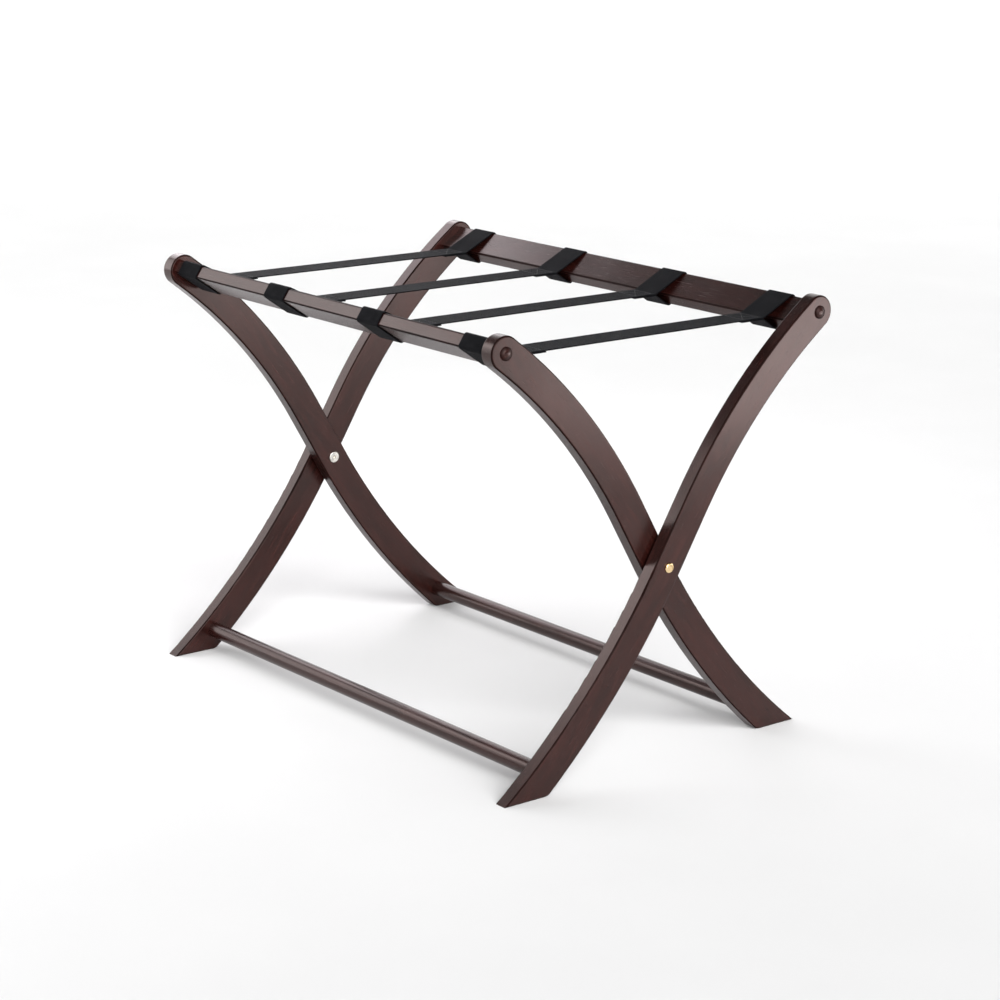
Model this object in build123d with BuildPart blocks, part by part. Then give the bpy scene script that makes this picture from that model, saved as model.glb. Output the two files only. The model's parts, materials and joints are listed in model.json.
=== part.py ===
"""Folding luggage rack: two crossed wooden frames, a pivot at each end, four webbing straps.

Frame: X along the rails, Y across the rack, Z up. The origin is on the floor, below the
pivots, at the middle of the rack. The outer frame's top rail is on the +Y side and its feet
are on the -Y side. The inner frame is its mirror image, set between the outer legs.
"""

import os
from math import cos, radians, sin, sqrt

from build123d import *

# Overall size of the open rack, button plugs included, in millimetres
rack_length = 674.0
rack_width = 474.0
rack_height = 508.0

# Legs: S-shaped boards, round at the top and cut flat at the floor
leg_width = 38.0
leg_thickness = 18.0
leg_ease = 2.0
pivot_height = 228.5
middle_slope = 59.0
middle_straight = 76.0
foot_arc_radius = 900.0
foot_arc_turn = 21.0
foot_corner_radius = 12.0
leg_gap = 3.0

# Top rails: flat boards tilted along the leg's top end
rail_depth = 40.0
rail_thickness = 16.0
rail_ease = 2.5
rail_tilt = 34.0
rail_setback = 10.0

# Stretchers: round bars in blind holes near the feet
stretcher_diameter = 19.0
stretcher_height = 25.0
stretcher_reach = 169.0
stretcher_tenon = 10.0

# Screws and dowels that hold the rails to the legs
screw_shank = 4.5
screw_head = 8.0
screw_head_height = 3.0
screw_length = 50.0
plug_hole = 9.5
plug_hole_depth = 8.0
plug_head = 15.0
plug_dome_height = 3.0
plug_shank_length = 4.0
dowel_diameter = 8.0
dowel_spacing = 18.0
dowel_in_leg = 10.0
dowel_in_rail = 20.0

# Pivots: a domed sleeve nut from outside and a flanged bolt from inside
sleeve_diameter = 8.0
sleeve_head = 12.0
sleeve_dome_height = 2.2
sleeve_short = 1.0
bolt_diameter = 6.0
bolt_length = 26.0
bolt_flange = 14.0
bolt_flange_thickness = 1.4
bolt_socket = 4.0
pivot_running = 0.05
pivot_end_play = 0.3
washer_diameter = 20.0
washer_play = 0.1

# Straps: flat webbing, looped round each rail and sewn to itself
strap_width = 38.0
strap_thickness = 1.5
strap_clearance = 0.1
strap_outer_centre = 269.5
strap_count = 4
junction_inset = 42.0
junction_drop = 10.0
tail_length = 33.0

# Sizes that follow from those above
half_length = rack_length / 2 - plug_dome_height
half_width = leg_width / 2
top_reach = rack_width / 2 - half_width
top_height = rack_height - half_width
outer_inside = half_length - leg_thickness
inner_outside = outer_inside - leg_gap
inner_inside = inner_outside - leg_thickness
inward = Vector(-cos(radians(rail_tilt)), -sin(radians(rail_tilt)))
rail_normal = Vector(-sin(radians(rail_tilt)), cos(radians(rail_tilt)))
top_centre = Vector(top_reach, top_height)
rail_centre = top_centre + inward * rail_setback
dowel_centre = top_centre + inward * dowel_spacing
stretcher_centre = Vector(-stretcher_reach, stretcher_height)
junction = top_centre + Vector(-junction_inset, -junction_drop)
strap_step = 2 * strap_outer_centre / (strap_count - 1)

# Each frame: how far out its legs' two faces are, and which way its profile faces
frames = {
    "outer": (outer_inside, half_length, 1),
    "inner": (inner_inside, inner_outside, -1),
}
ends = {"left": -1, "right": 1}

os.makedirs("parts", exist_ok=True)


def save(builder, node):
    builder.part.label = node
    export_step(builder.part, f"parts/{node}.step")


def profile_plane(x, facing):
    """The plane across the rack at x. Its own x runs towards the frame's top rail."""
    return Plane(origin=(x, 0, 0), x_dir=(0, facing, 0), z_dir=(facing, 0, 0))


def spot(x, facing, point, outward):
    """A plane at a point of the profile, looking along the rack."""
    return Plane(origin=(x, facing * point.X, point.Y), x_dir=(0, 1, 0), z_dir=(outward, 0, 0))


def rod(x_from, x_to, facing, point, diameter, mode=Mode.ADD):
    """A round bar along the rack, added to or cut from the part being built."""
    with BuildSketch(profile_plane(x_from, facing)) as section:
        with Locations(point):
            Circle(diameter / 2)
    extrude(section.sketch, amount=facing * (x_to - x_from), mode=mode)


# Legs
for frame, (inside, outside, facing) in frames.items():
    for end, side in ends.items():
        low_face = min(side * inside, side * outside)
        slope = Vector(cos(radians(middle_slope)), sin(radians(middle_slope)))
        pivot = Vector(0, pivot_height)
        straight_top = pivot + slope * middle_straight
        with BuildPart() as leg:
            with BuildSketch(profile_plane(low_face, facing)):
                with BuildLine():
                    JernArc(pivot, -slope, foot_arc_radius, -foot_arc_turn)
                    Line(pivot, straight_top)
                    TangentArc(straight_top, top_centre, tangent=slope)
                    offset(amount=half_width, side=Side.BOTH)
                make_face()
                with Locations((-rack_width / 2, 0)):
                    Rectangle(rack_width, rack_height, align=(Align.CENTER, Align.MAX), mode=Mode.SUBTRACT)
                foot_corners = vertices().group_by(Axis.Y)[0].sort_by(Axis.X)
                fillet(foot_corners[-1], foot_corner_radius)
            extrude(amount=facing * leg_thickness)
            arrises = leg.edges().group_by(Axis.X)[0] + leg.edges().group_by(Axis.X)[-1]
            fillet(arrises, leg_ease)
            with Locations(spot(side * outside, facing, top_centre, side)):
                CounterBoreHole(screw_shank / 2, plug_hole / 2, plug_hole_depth)
            with Locations(spot(side * outside, facing, pivot, side)):
                Hole(sleeve_diameter / 2 + pivot_running)
            with Locations(spot(side * inside, facing, dowel_centre, -side)):
                Hole(dowel_diameter / 2, dowel_in_leg)
            with Locations(spot(side * inside, facing, stretcher_centre, -side)):
                Hole(stretcher_diameter / 2, stretcher_tenon)
        save(leg, f"{frame}_leg_{end}")

# Top rails, with a screw hole and a dowel hole in each end
for frame, (inside, outside, facing) in frames.items():
    screw_in_rail = screw_length - (leg_thickness - plug_hole_depth)
    with BuildPart() as rail:
        with BuildSketch(profile_plane(-inside, facing)):
            with Locations(rail_centre):
                RectangleRounded(rail_depth, rail_thickness, rail_ease, rotation=rail_tilt)
        extrude(amount=facing * 2 * inside)
        for side in ends.values():
            with Locations(spot(side * inside, facing, top_centre, side)):
                Hole(screw_shank / 2, screw_in_rail)
            with Locations(spot(side * inside, facing, dowel_centre, side)):
                Hole(dowel_diameter / 2, dowel_in_rail)
    save(rail, f"{frame}_top_rail")

# Stretchers, running into the blind holes of both legs
for frame, (inside, outside, facing) in frames.items():
    bar_end = inside + stretcher_tenon
    with BuildPart() as stretcher:
        rod(-bar_end, bar_end, facing, stretcher_centre, stretcher_diameter)
        chamfer(stretcher.edges().filter_by(GeomType.CIRCLE), 0.8)
    save(stretcher, f"{frame}_stretcher")

# Rail screws, one at each end of a rail: head in the counterbore, tip in the rail
for frame, (inside, outside, facing) in frames.items():
    seat = outside - plug_hole_depth
    with BuildPart() as screws:
        for side in ends.values():
            head_top = seat + screw_head_height
            rod(side * (seat - screw_length), side * seat, facing, top_centre, screw_shank)
            rod(side * seat, side * head_top, facing, top_centre, screw_head)
            with BuildSketch(spot(side * head_top, facing, top_centre, side)):
                RegularPolygon(bolt_socket / sqrt(3), 6)
            extrude(amount=-screw_head_height / 2, mode=Mode.SUBTRACT)
    save(screws, f"{frame}_rail_screws")

# Rail dowels, which stop a rail turning round its screw
for frame, (inside, outside, facing) in frames.items():
    with BuildPart() as dowels:
        for side in ends.values():
            tip = side * (inside + dowel_in_leg)
            tail = side * (inside - dowel_in_rail)
            rod(tail, tip, facing, dowel_centre, dowel_diameter)
        chamfer(dowels.edges().filter_by(GeomType.CIRCLE), 0.8)
    save(dowels, f"{frame}_rail_dowels")

# Button plugs over the screws: a shallow dome on a short shank
for frame, (inside, outside, facing) in frames.items():
    for end, side in ends.items():
        lip = 0.8
        crown = plug_dome_height - lip
        dome_radius = ((plug_head / 2) ** 2 + crown**2) / (2 * crown)
        with BuildPart() as plug:
            with BuildSketch(Plane.XY):
                with BuildLine():
                    shank = plug_hole / 2
                    edge = plug_head / 2
                    Polyline(
                        (0, plug_dome_height), (0, -plug_shank_length), (shank, -plug_shank_length),
                        (shank, 0), (edge, 0), (edge, lip),
                    )
                    RadiusArc((edge, lip), (0, plug_dome_height), -dome_radius)
                make_face()
            revolve(axis=Axis.Y)
        home = Plane(
            origin=(side * outside, facing * top_reach, top_height), x_dir=(0, 0, 1), z_dir=(0, side, 0)
        )
        plug.part = home.location * plug.part
        save(plug, f"{frame}_button_plug_{end}")

# Pivots: the sleeve nut is the pin that both legs of one end share
for end, side in ends.items():
    pivot = Vector(0, pivot_height)
    sleeve_end = inner_inside + sleeve_short
    with BuildPart() as sleeve:
        rod(side * sleeve_end, side * half_length, 1, pivot, sleeve_diameter)
        with BuildSketch(spot(side * half_length, 1, pivot, side)):
            Circle(sleeve_head / 2)
        extrude(amount=sleeve_dome_height)
        rim = sleeve.faces().sort_by(Axis.X)[-1 if side > 0 else 0].edges()
        fillet(rim, sleeve_dome_height * 0.9)
        rod(side * sleeve_end, side * (sleeve_end + bolt_length), 1, pivot, bolt_diameter, Mode.SUBTRACT)
    save(sleeve, f"pivot_sleeve_nut_{end}")

    flange_seat = inner_inside - pivot_end_play
    flange_face = flange_seat - bolt_flange_thickness
    with BuildPart() as bolt:
        rod(side * flange_face, side * flange_seat, 1, pivot, bolt_flange)
        rim = bolt.faces().sort_by(Axis.X)[0 if side > 0 else -1].edges()
        fillet(rim, bolt_flange_thickness / 2)
        rod(side * flange_seat, side * (sleeve_end + bolt_length - 1), 1, pivot, bolt_diameter)
        with BuildSketch(spot(side * flange_face, 1, pivot, -side)):
            RegularPolygon(bolt_socket / sqrt(3), 6)
        extrude(amount=-bolt_diameter / 2, mode=Mode.SUBTRACT)
    save(bolt, f"pivot_bolt_{end}")

    with BuildPart() as washer:
        rod(
            side * (inner_outside + washer_play), side * (outer_inside - washer_play),
            1, pivot, washer_diameter,
        )
        rod(side * inner_outside, side * outer_inside, 1, pivot, sleeve_diameter + 0.4, Mode.SUBTRACT)
    save(washer, f"pivot_washer_{end}")


def strap_loop(free):
    """One end of a strap: a band drawn from the rail's far side to the sewn junction.

    The free stretch is what stands off the rail; the rest lies against it.
    """
    round_rail = rail_ease + strap_clearance
    across = inward * (rail_depth / 2 + strap_clearance)
    through = rail_normal * (rail_thickness / 2 + strap_clearance)
    upper_corner = rail_centre - across + through
    far_corner = rail_centre - across - through
    lower_corner = rail_centre + across - through
    upper_run = (junction - upper_corner).normalized()
    lower_run = (junction - lower_corner).normalized()
    upper_leave = upper_corner + upper_run * round_rail
    lower_leave = lower_corner + lower_run * round_rail
    upper_side = Vector(upper_run.Y, -upper_run.X) * rail_depth
    lower_side = Vector(lower_run.Y, -lower_run.X) * -rail_depth
    reach = Vector(-rail_depth, 0)
    with BuildSketch(Plane.XY, mode=Mode.PRIVATE) as band:
        with BuildSketch(mode=Mode.PRIVATE) as hollow:
            with BuildLine():
                Polyline(upper_corner, far_corner, lower_corner, junction, close=True)
            make_face()
            fillet(hollow.vertices().sort_by(Axis.X)[1:], round_rail)
        add(hollow.sketch)
        offset(amount=strap_thickness)
        add(hollow.sketch, mode=Mode.SUBTRACT)
        with BuildSketch(mode=Mode.INTERSECT if free else Mode.SUBTRACT):
            with BuildLine():
                Polyline(
                    rail_centre, upper_leave, upper_leave + upper_side, junction + upper_side + reach,
                    junction + lower_side + reach, lower_leave + lower_side, lower_leave,
                    close=True,
                )
            make_face()
    return band.sketch


# Straps: a web across the rack, and the wrap round each rail
for number in range(1, strap_count + 1):
    x = -strap_outer_centre + (number - 1) * strap_step - strap_width / 2
    for frame, (inside, outside, facing) in frames.items():
        with BuildPart() as wrap:
            with BuildSketch(profile_plane(x, facing)):
                add(strap_loop(free=False))
            extrude(amount=facing * strap_width)
        save(wrap, f"strap_{number}_{frame}_wrap")

    with BuildPart() as web:
        with BuildSketch(profile_plane(x, 1)):
            add(strap_loop(free=True))
            with Locations(junction):
                Rectangle(tail_length, strap_thickness, align=(Align.MAX, Align.MAX))
            with Locations((0, junction.Y)):
                Rectangle(junction.X, strap_thickness, align=(Align.MIN, Align.MIN))
            mirror(about=Plane.YZ)
        extrude(amount=strap_width)
    save(web, f"strap_{number}_web")
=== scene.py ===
"""Folding luggage rack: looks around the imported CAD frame. Metres, +Z up."""

import json
import math

import bpy
from mathutils import Matrix, Vector


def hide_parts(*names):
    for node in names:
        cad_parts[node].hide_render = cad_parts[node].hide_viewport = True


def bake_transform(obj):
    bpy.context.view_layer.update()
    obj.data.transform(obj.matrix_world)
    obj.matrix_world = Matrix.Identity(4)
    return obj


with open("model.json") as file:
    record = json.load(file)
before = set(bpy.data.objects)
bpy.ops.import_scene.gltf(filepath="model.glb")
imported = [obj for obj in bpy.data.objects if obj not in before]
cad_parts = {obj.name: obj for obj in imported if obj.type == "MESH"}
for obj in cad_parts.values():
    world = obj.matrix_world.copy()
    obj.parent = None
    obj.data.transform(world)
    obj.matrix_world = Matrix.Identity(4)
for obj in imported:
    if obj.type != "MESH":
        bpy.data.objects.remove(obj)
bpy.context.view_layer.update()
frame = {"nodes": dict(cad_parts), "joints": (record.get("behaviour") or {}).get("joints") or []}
nodes = frame["nodes"]

# Camera
CAMERA_AZIMUTH = math.radians(50.749)
CAMERA_ELEVATION = math.radians(14.628)
CAMERA_ROLL = math.radians(0.838)
CAMERA_DISTANCE = 3.2163
CAMERA_TARGET = Vector((-0.0001, 0.0327, 0.2293))
CAMERA_LENS = 96.88
CAMERA_SENSOR = 36

# Webbing, with the same sizes as the CAD straps. A place is (y, z).
RAIL_DEPTH = 0.040
RAIL_THICKNESS = 0.016
RAIL_EASE = 0.0025
RAIL_TILT = math.radians(34)
RAIL_CENTRE = Vector((0.20971, 0.48341))
JUNCTION_HEIGHT = 0.479
JUNCTION = Vector((0.176, JUNCTION_HEIGHT))
STRAP_WIDTH = 0.038
STRAP_THICKNESS = 0.0015
STRAP_CLEARANCE = 0.0001
STRAP_CENTRES = (-0.2695, -0.08983, 0.08983, 0.2695)
TAIL_LENGTH = 0.033

# The webbing's weave
COLUMN_PITCH = 0.0021
RIB_PITCH = 0.00115

# The webbing's cross-section: a skin, round edges, and a firm bead just inside each edge
SKIN_SHARE = 0.90
EDGE_SHARE = 0.92
BEAD_HEIGHT = 0.00006
BEAD_PLACE = 0.94
BEAD_SPREAD = 0.035
SECTION_COLUMNS = 18
EDGE_STEPS = 6

# How the webbing bends, cups and wanders
SPAN_BEND = 0.006
TAIL_BEND = 0.0025
STRAIGHT_TURN = 1e-4
LINE_SPACING = 0.0025
ARC_SPACING = 0.00035
ARC_STEPS = 10
CUP = 0.0003
WANDER = 0.00025
WANDER_RATE = 17
PHASE_STEP = 1.7

# Stitches, with half sizes of one stitch
SEAM_SIDE_MARGIN = 0.0045
SEAM_END_MARGIN = 0.004
STITCH_PITCH = 0.003
STITCH_HALF_LENGTH = 0.00115
STITCH_HALF_WIDTH = 0.00024
STITCH_HALF_HEIGHT = 0.00022
STITCH_DIP = 0.00016
STITCH_TAPER = 0.93
STITCH_RINGS = 5
STITCH_SIDES = 6

# The strap mesh's material numbers
CLOTH = 0
THREAD = 1

# The pivots' axis, as (y, z)
PIVOT = tuple(frame["joints"][0]["pos_m"][1:])

# Colours of the stain on the arrises, the open pores and the studio's paint
STAIN = (0.004, 0.0014, 0.0011, 1.0)
PORE = (0.005, 0.0012, 0.0009, 1.0)
PAINT = (0.74, 0.74, 0.74, 1.0)

# Studio
FLOOR_REACH = 40.0
BACKDROP_DISTANCE = 5.0
BACKDROP_RADIUS = 2.5
BACKDROP_HEIGHT = 7.0
WORLD_STRENGTH = 0.10
SUN_STRENGTH = 5.8
SUN_WIDTH = math.radians(55)
SUN_DIRECTION = Vector((-0.87, 0.24, -0.43))
WHITE = (1.0, 1.0, 1.0)
ROSY = (1.0, 0.95, 1.0)

MM = 0.001


# ---------------------------------------------------------------- node helpers
class Nodes:
    """A material's node tree, with short calls for the nodes used here."""

    def __init__(self, name):
        self.material = bpy.data.materials.new(name)
        self.material.use_nodes = True
        self.tree = self.material.node_tree
        self.shader = self.tree.nodes["Principled BSDF"]

    def add(self, kind, **settings):
        node = self.tree.nodes.new(kind)
        for key, value in settings.items():
            setattr(node, key, value)
        return node

    def link(self, source, target):
        self.tree.links.new(source, target)

    def feed(self, socket, value):
        if isinstance(value, (int, float, tuple)):
            socket.default_value = value
        else:
            self.link(value, socket)

    def math(self, operation, a, b=0.0, clamp=False):
        node = self.add("ShaderNodeMath", operation=operation, use_clamp=clamp)
        self.feed(node.inputs[0], a)
        self.feed(node.inputs[1], b)
        return node.outputs[0]

    def noise(self, vector, scale, detail=4.0, roughness=0.55):
        node = self.add("ShaderNodeTexNoise")
        self.link(vector, node.inputs["Vector"])
        node.inputs["Scale"].default_value = scale
        node.inputs["Detail"].default_value = detail
        node.inputs["Roughness"].default_value = roughness
        return node.outputs["Fac"]

    def stretch(self, vector, angles, scale):
        """The vector turned, and then scaled along its new axes."""
        turned = self.add("ShaderNodeMapping", vector_type="POINT")
        turned.inputs["Rotation"].default_value = angles
        self.link(vector, turned.inputs["Vector"])
        scaled = self.add("ShaderNodeMapping", vector_type="POINT")
        scaled.inputs["Scale"].default_value = scale
        self.link(turned.outputs[0], scaled.inputs["Vector"])
        return scaled.outputs[0]

    def distance(self, vector, centre):
        """How far the vector is from an axis along X through centre, given as (y, z)."""
        flat = self.add("ShaderNodeVectorMath", operation="MULTIPLY")
        self.link(vector, flat.inputs[0])
        flat.inputs[1].default_value = (0.0, 1.0, 1.0)
        gap = self.add("ShaderNodeVectorMath", operation="DISTANCE")
        self.link(flat.outputs[0], gap.inputs[0])
        gap.inputs[1].default_value = (0.0, *centre)
        return gap.outputs["Value"]

    def span(self, value, low, high, to_low=0.0, to_high=1.0):
        node = self.add("ShaderNodeMapRange", interpolation_type="SMOOTHSTEP")
        self.link(value, node.inputs["Value"])
        node.inputs["From Min"].default_value = low
        node.inputs["From Max"].default_value = high
        node.inputs["To Min"].default_value = to_low
        node.inputs["To Max"].default_value = to_high
        return node.outputs[0]

    def mix(self, factor, a, b):
        node = self.add("ShaderNodeMix", data_type="RGBA")
        self.feed(node.inputs["Factor"], factor)
        self.feed(node.inputs["A"], a)
        self.feed(node.inputs["B"], b)
        return node.outputs["Result"]

    def bump(self, height, strength, distance, before=None):
        node = self.add("ShaderNodeBump")
        node.inputs["Strength"].default_value = strength
        node.inputs["Distance"].default_value = distance
        self.link(height, node.inputs["Height"])
        if before is not None:
            self.link(before, node.inputs["Normal"])
        return node.outputs[0]

    def set(self, **values):
        """Shader inputs, by name with _ for a space."""
        for key, value in values.items():
            self.feed(self.shader.inputs[key.replace("_", " ")], value)


# ------------------------------------------------------------------- materials
def wood(name, grain_angle, offset, edge_axis):
    """Dark stained hardwood under a satin lacquer.

    grain_angle turns the grain from along the rack (None) to a slope across it.
    edge_axis is square to one pair of the piece's faces, so that its arrises can be found.
    """
    n = Nodes(name)
    place = n.add("ShaderNodeTexCoord")
    shifted = n.add("ShaderNodeMapping", vector_type="POINT")
    shifted.inputs["Location"].default_value = offset
    n.link(place.outputs["Object"], shifted.inputs["Vector"])
    spot = shifted.outputs[0]

    def grained(narrowing):
        """The spot with its axes across the grain scaled by narrowing."""
        if grain_angle is None:
            return n.stretch(spot, (0.0, 0.0, 0.0), (1.0, narrowing, narrowing))
        return n.stretch(spot, (-grain_angle, 0.0, 0.0), (narrowing, 1.0, narrowing))

    growth = n.noise(grained(4.0), 9.0, 3.0, 0.5)
    grain = n.noise(grained(14.0), 28.0, 6.0, 0.6)
    pores = n.noise(grained(30.0), 42.0, 4.0, 0.65)
    cloud = n.noise(spot, 5.0, 2.0, 0.5)
    smudge = n.noise(spot, 24.0, 3.0, 0.6)
    pore_mask = n.span(pores, 0.60, 0.72)

    dark = (0.0066, 0.0016, 0.0012, 1.0)
    middle = (0.0145, 0.0031, 0.0024, 1.0)
    light = (0.0320, 0.0074, 0.0056, 1.0)
    colour = n.mix(n.span(growth, 0.30, 0.70), dark, middle)
    colour = n.mix(n.math("MULTIPLY", n.span(grain, 0.42, 0.72), 0.70), colour, light)
    colour = n.mix(n.math("MULTIPLY", pore_mask, 0.55), colour, PORE)
    colour = n.mix(n.math("MULTIPLY", n.span(cloud, 0.45, 0.75), 0.22), colour, light)

    # The eased arrises hold more stain and are rubbed duller than the faces
    if edge_axis is None:
        edge = 0.0
    else:
        turn = n.add("ShaderNodeVectorMath", operation="DOT_PRODUCT")
        n.link(place.outputs["Normal"], turn.inputs[0])
        turn.inputs[1].default_value = edge_axis
        across = n.math("ABSOLUTE", turn.outputs["Value"])
        edge = n.math("MULTIPLY", n.span(across, 0.08, 0.35), n.span(across, 0.85, 0.995, 1.0, 0.0))
    colour = n.mix(n.math("MULTIPLY", edge, 0.70), colour, STAIN)

    rough = n.span(smudge, 0.25, 0.80, 0.235, 0.275)
    rough = n.math("ADD", rough, n.math("MULTIPLY", pore_mask, 0.05))
    rough = n.math("ADD", rough, n.math("MULTIPLY", edge, 0.30))
    shine = n.math("SUBTRACT", 0.5, n.math("MULTIPLY", edge, 0.42))
    height = n.math("SUBTRACT", n.math("MULTIPLY", grain, 0.55), n.math("MULTIPLY", pore_mask, 0.6))
    n.set(Base_Color=colour, Roughness=rough, Specular_IOR_Level=shine)
    n.set(Normal=n.bump(height, 0.14, 0.25 * MM))
    n.set(IOR=1.46, Specular_Tint=(1.0, 0.77, 0.73, 1.0))
    return n.material


def metal(name, colour, worn, roughness, recess=None):
    """Plated metal with fine turned marks and a little tarnish.

    recess is the centre of a drive recess, in the YZ plane, around which painted shade darkens the
    metal.
    """
    n = Nodes(name)
    place = n.add("ShaderNodeTexCoord")
    spot = place.outputs["Object"]
    cloud = n.noise(spot, 260.0, 3.0, 0.6)
    scratch = n.noise(n.stretch(spot, (0.4, 0.0, 0.0), (1.0, 30.0, 1.0)), 320.0, 3.0, 0.6)
    tint = n.mix(n.span(cloud, 0.38, 0.72), colour, worn)
    if recess is not None:
        # Painted shade: the metal is darkened towards the drive recess, where shade falls in the
        # hollow.
        recess_shade = n.span(n.distance(spot, recess), 1.5 * MM, 2.3 * MM, 0.75, 0.0)
        tint = n.mix(recess_shade, tint, (0.10, 0.095, 0.085, 1.0))
    rough = n.span(scratch, 0.3, 0.7, roughness, roughness + 0.12)
    n.set(Base_Color=tint, Roughness=rough, Metallic=1.0, Normal=n.bump(scratch, 0.10, 0.04 * MM))
    return n.material


def moulded(name, colour, pale, roughness):
    """Moulded plastic or bare turned wood, matt, with a fine grain."""
    n = Nodes(name)
    place = n.add("ShaderNodeTexCoord")
    speck = n.noise(place.outputs["Object"], 900.0, 3.0, 0.6)
    cloud = n.noise(place.outputs["Object"], 90.0, 3.0, 0.5)
    tint = n.mix(n.span(cloud, 0.35, 0.70), colour, pale)
    rough = n.span(speck, 0.3, 0.7, roughness, roughness + 0.15)
    n.set(Base_Color=tint, Roughness=rough, Normal=n.bump(speck, 0.2, 0.05 * MM))
    return n.material


def webbing(name):
    """Black nylon webbing: fine ribs across it, in columns along it, with firm edges."""
    n = Nodes(name)
    place = n.add("ShaderNodeUVMap", uv_map="cloth")
    split = n.add("ShaderNodeSeparateXYZ")
    n.link(place.outputs[0], split.inputs[0])
    along, over = split.outputs[0], split.outputs[1]
    drift = n.noise(place.outputs[0], 55.0, 2.0, 0.5)
    fuzz = n.noise(place.outputs[0], 2600.0, 3.0, 0.7)

    # Every second column is half a rib further along. Adding 100 keeps the column number positive.
    column = n.math("MULTIPLY", over, 1.0 / COLUMN_PITCH)
    odd = n.math("MODULO", n.math("FLOOR", n.math("ADD", column, 100.0)), 2.0)
    drifted = n.math("ADD", along, n.math("MULTIPLY", drift, 0.3 * MM))
    row = n.math("MULTIPLY", drifted, 1.0 / RIB_PITCH)
    step = n.math("ADD", row, n.math("MULTIPLY", odd, 0.5))
    rib = n.math("ABSOLUTE", n.math("SINE", n.math("MULTIPLY", step, math.pi)))
    cord = n.math("ABSOLUTE", n.math("SINE", n.math("MULTIPLY", column, math.pi)))
    weave = n.math("MULTIPLY", n.math("POWER", rib, 0.6), n.math("POWER", cord, 0.45))
    rim = n.span(n.math("ABSOLUTE", over), 16.6 * MM, 17.8 * MM)

    low = (0.0016, 0.0017, 0.0021, 1.0)
    high = (0.0088, 0.0090, 0.0108, 1.0)
    worn = (0.015, 0.015, 0.017, 1.0)
    firm = (0.004, 0.004, 0.005, 1.0)
    lint = (0.028, 0.028, 0.030, 1.0)
    colour = n.mix(n.span(weave, 0.25, 0.95), low, high)
    colour = n.mix(n.math("MULTIPLY", n.span(drift, 0.42, 0.70), 0.30), colour, worn)
    colour = n.mix(n.math("MULTIPLY", rim, 0.35), colour, firm)
    colour = n.mix(n.math("MULTIPLY", n.span(fuzz, 0.58, 0.74), 0.18), colour, lint)
    rough = n.span(fuzz, 0.3, 0.7, 0.55, 0.75)
    surface = n.bump(weave, 0.55, 0.35 * MM)
    surface = n.bump(fuzz, 0.12, 0.1 * MM, surface)
    n.set(Base_Color=colour, Roughness=rough, Normal=surface, IOR=1.085)
    n.set(Sheen_Weight=0.01, Sheen_Roughness=0.45, Sheen_Tint=(0.75, 0.78, 0.85, 1.0))
    return n.material


def thread(name):
    """Bonded black sewing thread, a little glossier than the webbing."""
    n = Nodes(name)
    place = n.add("ShaderNodeTexCoord")
    twisted = n.stretch(place.outputs["Object"], (0.0, 0.0, 0.5), (1.0, 6.0, 1.0))
    ply = n.noise(twisted, 1500.0, 2.0, 0.5)
    tint = n.mix(n.span(ply, 0.35, 0.65), (0.008, 0.008, 0.010, 1.0), (0.034, 0.034, 0.038, 1.0))
    rough = n.span(ply, 0.3, 0.7, 0.38, 0.55)
    n.set(Base_Color=tint, Roughness=rough, Normal=n.bump(ply, 0.3, 0.1 * MM))
    return n.material


def matt(name, colour):
    """The studio floor: a pale, slightly uneven painted surface."""
    n = Nodes(name)
    place = n.add("ShaderNodeTexCoord")
    cloud = n.noise(place.outputs["Object"], 3.0, 3.0, 0.5)
    tint = n.mix(n.span(cloud, 0.35, 0.70), colour, tuple(min(1.0, v * 1.02) for v in colour))
    n.set(Base_Color=tint, Roughness=0.85)
    return n.material


LEG_GRAIN = math.radians(52)
PLUG_GRAIN = 0.3
rail_across = (0.0, math.cos(RAIL_TILT), math.sin(RAIL_TILT))
rail_mirrored = (0.0, -math.cos(RAIL_TILT), math.sin(RAIL_TILT))
along_rack = (1.0, 0.0, 0.0)
wood_outer_rail = wood("wood_rail_outer", None, (0.13, 0.31, 0.05), rail_across)
wood_inner_rail = wood("wood_rail_inner", None, (0.83, 0.52, 0.61), rail_mirrored)
wood_bar = wood("wood_bar", None, (0.57, 0.12, 0.44), None)
wood_outer = wood("wood_leg_outer", LEG_GRAIN, (0.22, 0.40, 0.18), along_rack)
wood_inner = wood("wood_leg_inner", -LEG_GRAIN, (0.71, 0.09, 0.36), along_rack)
wood_plug = wood("wood_plug", PLUG_GRAIN, (0.35, 0.63, 0.27), along_rack)
brass = metal("brass", (0.84, 0.63, 0.36, 1.0), (0.46, 0.30, 0.13, 1.0), 0.14)
nickel = metal("nickel", (0.74, 0.71, 0.66, 1.0), (0.44, 0.42, 0.39, 1.0), 0.18, PIVOT)
steel = metal("steel", (0.56, 0.56, 0.58, 1.0), (0.40, 0.40, 0.43, 1.0), 0.34)
nylon = moulded("nylon", (0.018, 0.018, 0.019, 1.0), (0.032, 0.032, 0.034, 1.0), 0.50)
beech = moulded("beech", (0.50, 0.30, 0.15, 1.0), (0.62, 0.41, 0.23, 1.0), 0.60)
web_cloth = webbing("webbing")
web_thread = thread("thread")

FINISHES = (
    ("outer_leg", wood_outer),
    ("inner_leg", wood_inner),
    ("outer_top_rail", wood_outer_rail),
    ("inner_top_rail", wood_inner_rail),
    ("stretcher", wood_bar),
    ("button_plug", wood_plug),
    ("pivot_sleeve_nut", brass),
    ("pivot_bolt", nickel),
    ("pivot_washer", nylon),
    ("rail_screws", steel),
    ("rail_dowels", beech),
)
for name, node in nodes.items():
    for part, finish in FINISHES:
        if part in name:
            node.data.materials.clear()
            node.data.materials.append(finish)


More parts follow.
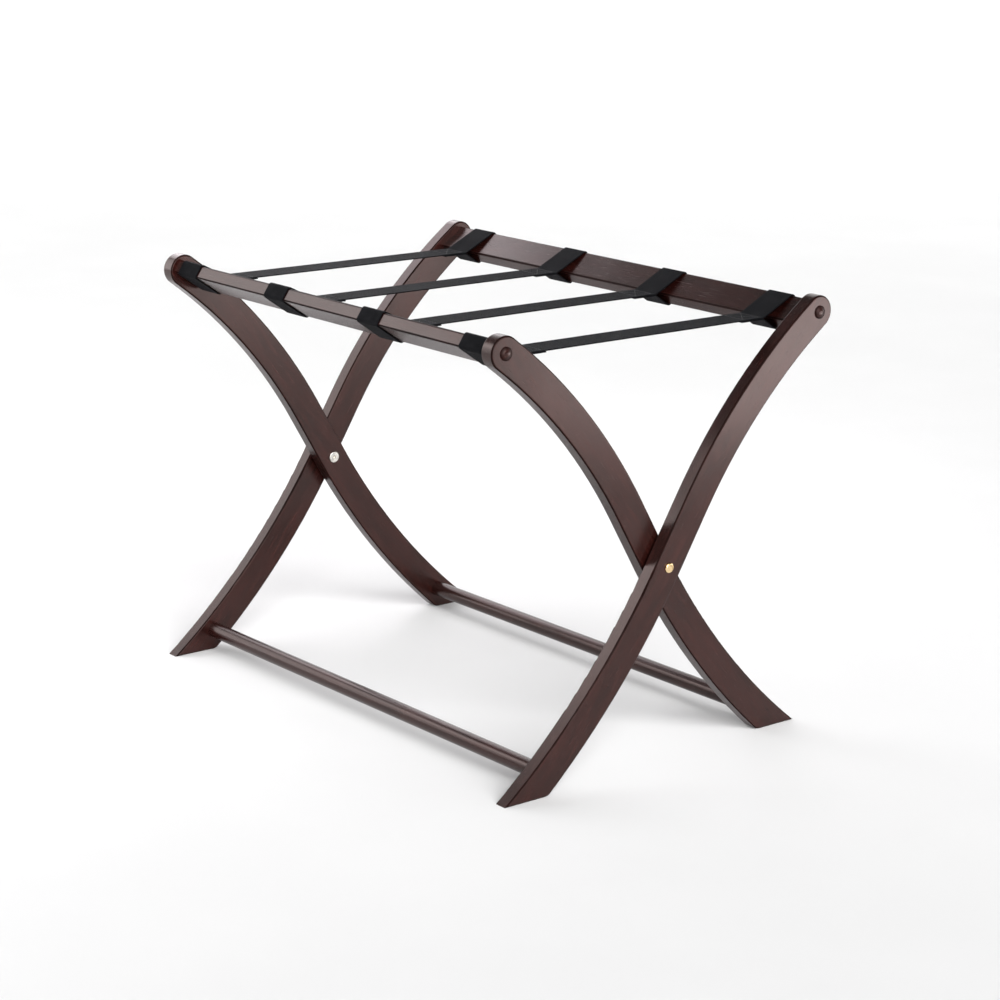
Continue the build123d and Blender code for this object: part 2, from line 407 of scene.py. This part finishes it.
# -------------------------------------------------------------------- webbing
class Shape:
    """Vertices, and faces with their UVs and material numbers, before they are a mesh."""

    def __init__(self):
        self.verts = []
        self.faces = []
        self.uvs = []
        self.kinds = []

    def face(self, corners, uvs, kind):
        self.faces.append(tuple(corners))
        self.uvs.append(tuple(uvs))
        self.kinds.append(kind)


def rounded(points, radii, spacing):
    """Points along a polyline with rounded corners, about spacing apart on the straights."""
    run = [points[0]]

    def straight_to(end):
        start = run[-1]
        steps = max(1, round((end - start).length / spacing))
        run.extend(start.lerp(end, i / steps) for i in range(1, steps + 1))

    for before, corner, after, radius in zip(points, points[1:], points[2:], radii):
        come = (corner - before).normalized()
        turn = come.angle_signed((after - corner).normalized())
        if abs(turn) < STRAIGHT_TURN:
            continue
        start = corner - come * (radius * math.tan(abs(turn) / 2))
        side = Vector((-come.y, come.x)) * math.copysign(1, -turn)
        centre = start + side * radius
        spoke = start - centre
        steps = min(ARC_STEPS, max(2, round(abs(turn) * radius / ARC_SPACING)))
        straight_to(start)
        for i in range(1, steps + 1):
            angle = -turn * i / steps
            y = spoke.x * math.cos(angle) - spoke.y * math.sin(angle)
            z = spoke.x * math.sin(angle) + spoke.y * math.cos(angle)
            run.append(centre + Vector((y, z)))
    straight_to(points[-1])
    return run


def strap_line():
    """The middle line of one strap in the YZ plane, from the tail on -Y to the tail on +Y."""
    inward = Vector((-math.cos(RAIL_TILT), -math.sin(RAIL_TILT)))
    normal = Vector((-math.sin(RAIL_TILT), math.cos(RAIL_TILT)))
    gap = STRAP_CLEARANCE + STRAP_THICKNESS / 2
    across = inward * (RAIL_DEPTH / 2 + gap)
    through = normal * (RAIL_THICKNESS / 2 + gap)
    half = Vector((0, STRAP_THICKNESS / 2))
    right = [
        JUNCTION + half,
        RAIL_CENTRE - across + through,
        RAIL_CENTRE - across - through,
        RAIL_CENTRE + across - through,
        JUNCTION - half,
        JUNCTION - half - Vector((TAIL_LENGTH, 0)),
    ]
    left = [Vector((-p.x, p.y)) for p in reversed(right)]
    rail_bend = RAIL_EASE + gap
    bends = [SPAN_BEND, rail_bend, rail_bend, rail_bend, TAIL_BEND]
    return rounded(left + right, bends[::-1] + bends, LINE_SPACING)


def strap_section():
    """The strap's cross-section as a ring of (across, through) points, with round firm edges."""
    half = STRAP_WIDTH / 2
    edge = STRAP_THICKNESS / 2 * EDGE_SHARE
    skin = STRAP_THICKNESS / 2 * SKIN_SHARE
    top = []
    for i in range(SECTION_COLUMNS + 1):
        u = -1 + 2 * i / SECTION_COLUMNS
        bead = BEAD_HEIGHT * math.exp(-(((abs(u) - BEAD_PLACE) / BEAD_SPREAD) ** 2))
        top.append((u * (half - edge), skin + bead))
    cap = []
    for k in range(1, EDGE_STEPS):
        a = math.pi * k / EDGE_STEPS
        cap.append((half - edge + edge * math.sin(a), skin * math.cos(a)))
    return top + cap + [(-x, -z) for x, z in top + cap]


def lay_webbing(shape, centre, phase):
    """The strap's section swept along its line, with closed ends. Returns the line's length."""
    line = strap_line()
    section = strap_section()
    ring = len(section)
    travel = [0.0]
    for a, b in zip(line, line[1:]):
        travel.append(travel[-1] + (b - a).length)

    for i, point in enumerate(line):
        heading = (line[min(i + 1, len(line) - 1)] - line[max(i - 1, 0)]).normalized()
        up = Vector((-heading.y, heading.x))
        on_span = point.y > JUNCTION.y and abs(point.x) < JUNCTION.x
        slack = 1 - (point.x / JUNCTION.x) ** 2 if on_span else 0.0
        wander = WANDER * math.sin(travel[i] * WANDER_RATE + phase) * slack
        for across, through in section:
            cup = -CUP * slack * (1 - (2 * across / STRAP_WIDTH) ** 2)
            place = point + up * (through + cup)
            shape.verts.append((centre + across + wander, place.x, place.y))

    for i in range(len(line) - 1):
        near, far = i * ring, (i + 1) * ring
        u0, u1 = travel[i], travel[i + 1]
        for k in range(ring):
            m = (k + 1) % ring
            v0, v1 = section[k][0], section[m][0]
            corners = (near + k, far + k, far + m, near + m)
            shape.face(corners, ((u0, v0), (u1, v0), (u1, v1), (u0, v1)), CLOTH)

    first = range(ring)
    last = range((len(line) - 1) * ring, len(line) * ring)
    shape.face(first, [(0.0, v) for v, _ in section], CLOTH)
    shape.face(reversed(last), [(travel[-1], v) for v, _ in reversed(section)], CLOTH)
    return travel[-1]


def sew(shape, centre):
    """A sewn box with a cross at each junction, on the strap's top and under its tail."""
    side = STRAP_WIDTH / 2 - SEAM_SIDE_MARGIN
    outer = JUNCTION.x - SEAM_END_MARGIN
    inner = JUNCTION.x - TAIL_LENGTH + SEAM_END_MARGIN
    box = [Vector(p) for p in ((-side, outer), (side, outer), (side, inner), (-side, inner))]
    seams = list(zip(box, box[1:] + box[:1]))
    seams += [(box[0], box[2]), (box[1], box[3])]
    for facing in (1, -1):
        for surface in (1, -1):
            z = JUNCTION.y + surface * STRAP_THICKNESS
            for start, end in seams:
                heading = (end - start).normalized()
                count = max(1, round((end - start).length / STITCH_PITCH))
                for i in range(count):
                    spot = start.lerp(end, (i + 0.5) / count)
                    place = Vector((centre + spot.x, facing * spot.y, z))
                    stitch(shape, place, Vector((heading.x, facing * heading.y)), surface)


def stitch(shape, place, heading, surface):
    """One stitch: a small capsule of thread whose ends dip into the cloth."""
    first = len(shape.verts)
    sideways = Vector((-heading.y, heading.x))
    for i in range(STITCH_RINGS):
        t = -1 + 2 * i / (STITCH_RINGS - 1)
        swell = math.sqrt(1 - (STITCH_TAPER * t) ** 2)
        for k in range(STITCH_SIDES):
            a = 2 * math.pi * k / STITCH_SIDES
            flat = heading * STITCH_HALF_LENGTH * t
            flat += sideways * STITCH_HALF_WIDTH * swell * math.cos(a)
            rise = STITCH_HALF_HEIGHT * swell * math.sin(a) - STITCH_DIP * t * t
            shape.verts.append((place.x + flat.x, place.y + flat.y, place.z + surface * rise))

    rings = []
    for i in range(STITCH_RINGS):
        rings.append([first + i * STITCH_SIDES + k for k in range(STITCH_SIDES)])
    faces = []
    for near, far in zip(rings, rings[1:]):
        for k in range(STITCH_SIDES):
            m = (k + 1) % STITCH_SIDES
            faces.append([near[k], near[m], far[m], far[k]])
    faces += [rings[0][::-1], rings[-1]]
    for corners in faces:
        if surface < 0:
            corners = corners[::-1]
        shape.face(corners, [(0.0, 0.0)] * len(corners), THREAD)


def build_strap(name, centre, phase):
    """One strap as an object of webbing and thread, and its webbing's length."""
    shape = Shape()
    length = lay_webbing(shape, centre, phase)
    sew(shape, centre)
    mesh = bpy.data.meshes.new(name)
    mesh.from_pydata(shape.verts, [], shape.faces)
    layer = mesh.uv_layers.new(name="cloth")
    for loop, uv in enumerate(uv for corners in shape.uvs for uv in corners):
        layer.data[loop].uv = uv
    mesh.materials.append(web_cloth)
    mesh.materials.append(web_thread)
    for polygon, kind in zip(mesh.polygons, shape.kinds):
        polygon.material_index = kind
        polygon.use_smooth = True
    mesh.validate()
    mesh.update()
    strap = bpy.data.objects.new(name, mesh)
    bpy.context.scene.collection.objects.link(strap)
    return strap, length


for number, centre in enumerate(STRAP_CENTRES, 1):
    strap, length = build_strap(f"strap_{number}", centre, number * PHASE_STEP)
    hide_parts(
        f"strap_{number}_web",
        f"strap_{number}_outer_wrap",
        f"strap_{number}_inner_wrap",
    )
    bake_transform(strap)


# ---------------------------------------------------------- floor and backdrop
def stage():
    """A pale floor that curves up into a pale backdrop, far behind the rack."""
    bend_steps = 24
    profile = [Vector((-FLOOR_REACH, 0.0))]
    for i in range(bend_steps + 1):
        a = math.radians(90 * i / bend_steps)
        out = BACKDROP_DISTANCE + BACKDROP_RADIUS * math.sin(a)
        profile.append(Vector((out, BACKDROP_RADIUS * (1 - math.cos(a)))))
    profile.append(Vector((BACKDROP_DISTANCE + BACKDROP_RADIUS, BACKDROP_HEIGHT)))
    depth = Vector((-math.sin(CAMERA_AZIMUTH), math.cos(CAMERA_AZIMUTH)))
    width = Vector((math.cos(CAMERA_AZIMUTH), math.sin(CAMERA_AZIMUTH)))
    verts, faces = [], []
    for p in profile:
        for side in (-FLOOR_REACH, FLOOR_REACH):
            spot = depth * p.x + width * side
            verts.append((spot.x, spot.y, p.y))
    for i in range(len(profile) - 1):
        faces.append((2 * i, 2 * i + 1, 2 * i + 3, 2 * i + 2))
    mesh = bpy.data.meshes.new("studio")
    mesh.from_pydata(verts, [], faces)
    for polygon in mesh.polygons:
        polygon.use_smooth = True
    mesh.materials.append(matt("studio_paint", PAINT))
    studio = bpy.data.objects.new("studio", mesh)
    bpy.context.scene.collection.objects.link(studio)


stage()


# ---------------------------------------------------------------------- lights
def softbox(name, place, aim, size, power, colour=WHITE):
    data = bpy.data.lights.new(name, "AREA")
    data.shape = "RECTANGLE"
    data.size, data.size_y = size
    data.energy = power
    data.color = colour
    lamp = bpy.data.objects.new(name, data)
    bpy.context.scene.collection.objects.link(lamp)
    lamp.location = place
    lamp.rotation_euler = (Vector(aim) - Vector(place)).to_track_quat("-Z", "Y").to_euler()
    lamp.visible_camera = False


softbox(
    "left_panel",
    place=(-2.3, -1.5, 1.15),
    aim=(0, 0, 0.35),
    size=(1.7, 1.8),
    power=25,
)
softbox(
    "floor_panel",
    place=(-1.5, -1.6, 1.5),
    aim=(-1.1, -1.2, 0),
    size=(1.2, 1.2),
    power=9.5,
)
softbox(
    "back_left_panel",
    place=(-1.08, 0.25, 0.95),
    aim=(-0.3, 0.2, 0.48),
    size=(1.0, 0.5),
    power=4.8,
    colour=ROSY,
)
softbox(
    "back_right_panel",
    place=(1.12, 0.90, 0.27),
    aim=(0.33, 0.2, 1.10),
    size=(0.7, 0.36),
    power=4.1,
)

sun = bpy.data.lights.new("sky_sun", "SUN")
sun.energy = SUN_STRENGTH
sun.angle = SUN_WIDTH
sky = bpy.data.objects.new("sky_sun", sun)
bpy.context.scene.collection.objects.link(sky)
sky.rotation_euler = SUN_DIRECTION.to_track_quat("-Z", "Y").to_euler()

world = bpy.data.worlds.new("studio_air")
bpy.context.scene.world = world
world.use_nodes = True
background = world.node_tree.nodes["Background"]
background.inputs["Color"].default_value = (*WHITE, 1.0)
background.inputs["Strength"].default_value = WORLD_STRENGTH


# ---------------------------------------------------------------------- camera
def make_camera():
    a, e, r = CAMERA_AZIMUTH, CAMERA_ELEVATION, CAMERA_ROLL
    back = Vector((math.sin(a) * math.cos(e), -math.cos(a) * math.cos(e), math.sin(e)))
    right = Vector((math.cos(a), math.sin(a), 0))
    up = back.cross(right)
    turned_right = right * math.cos(r) + up * math.sin(r)
    turned_up = up * math.cos(r) - right * math.sin(r)
    data = bpy.data.cameras.new("camera")
    data.lens = CAMERA_LENS
    data.sensor_width = CAMERA_SENSOR
    camera = bpy.data.objects.new("camera", data)
    bpy.context.scene.collection.objects.link(camera)
    turn = Matrix((turned_right, turned_up, back)).transposed().to_4x4()
    camera.matrix_world = Matrix.Translation(CAMERA_TARGET + back * CAMERA_DISTANCE) @ turn
    bpy.context.scene.camera = camera


make_camera()
bpy.context.scene.view_settings.view_transform = "Standard"
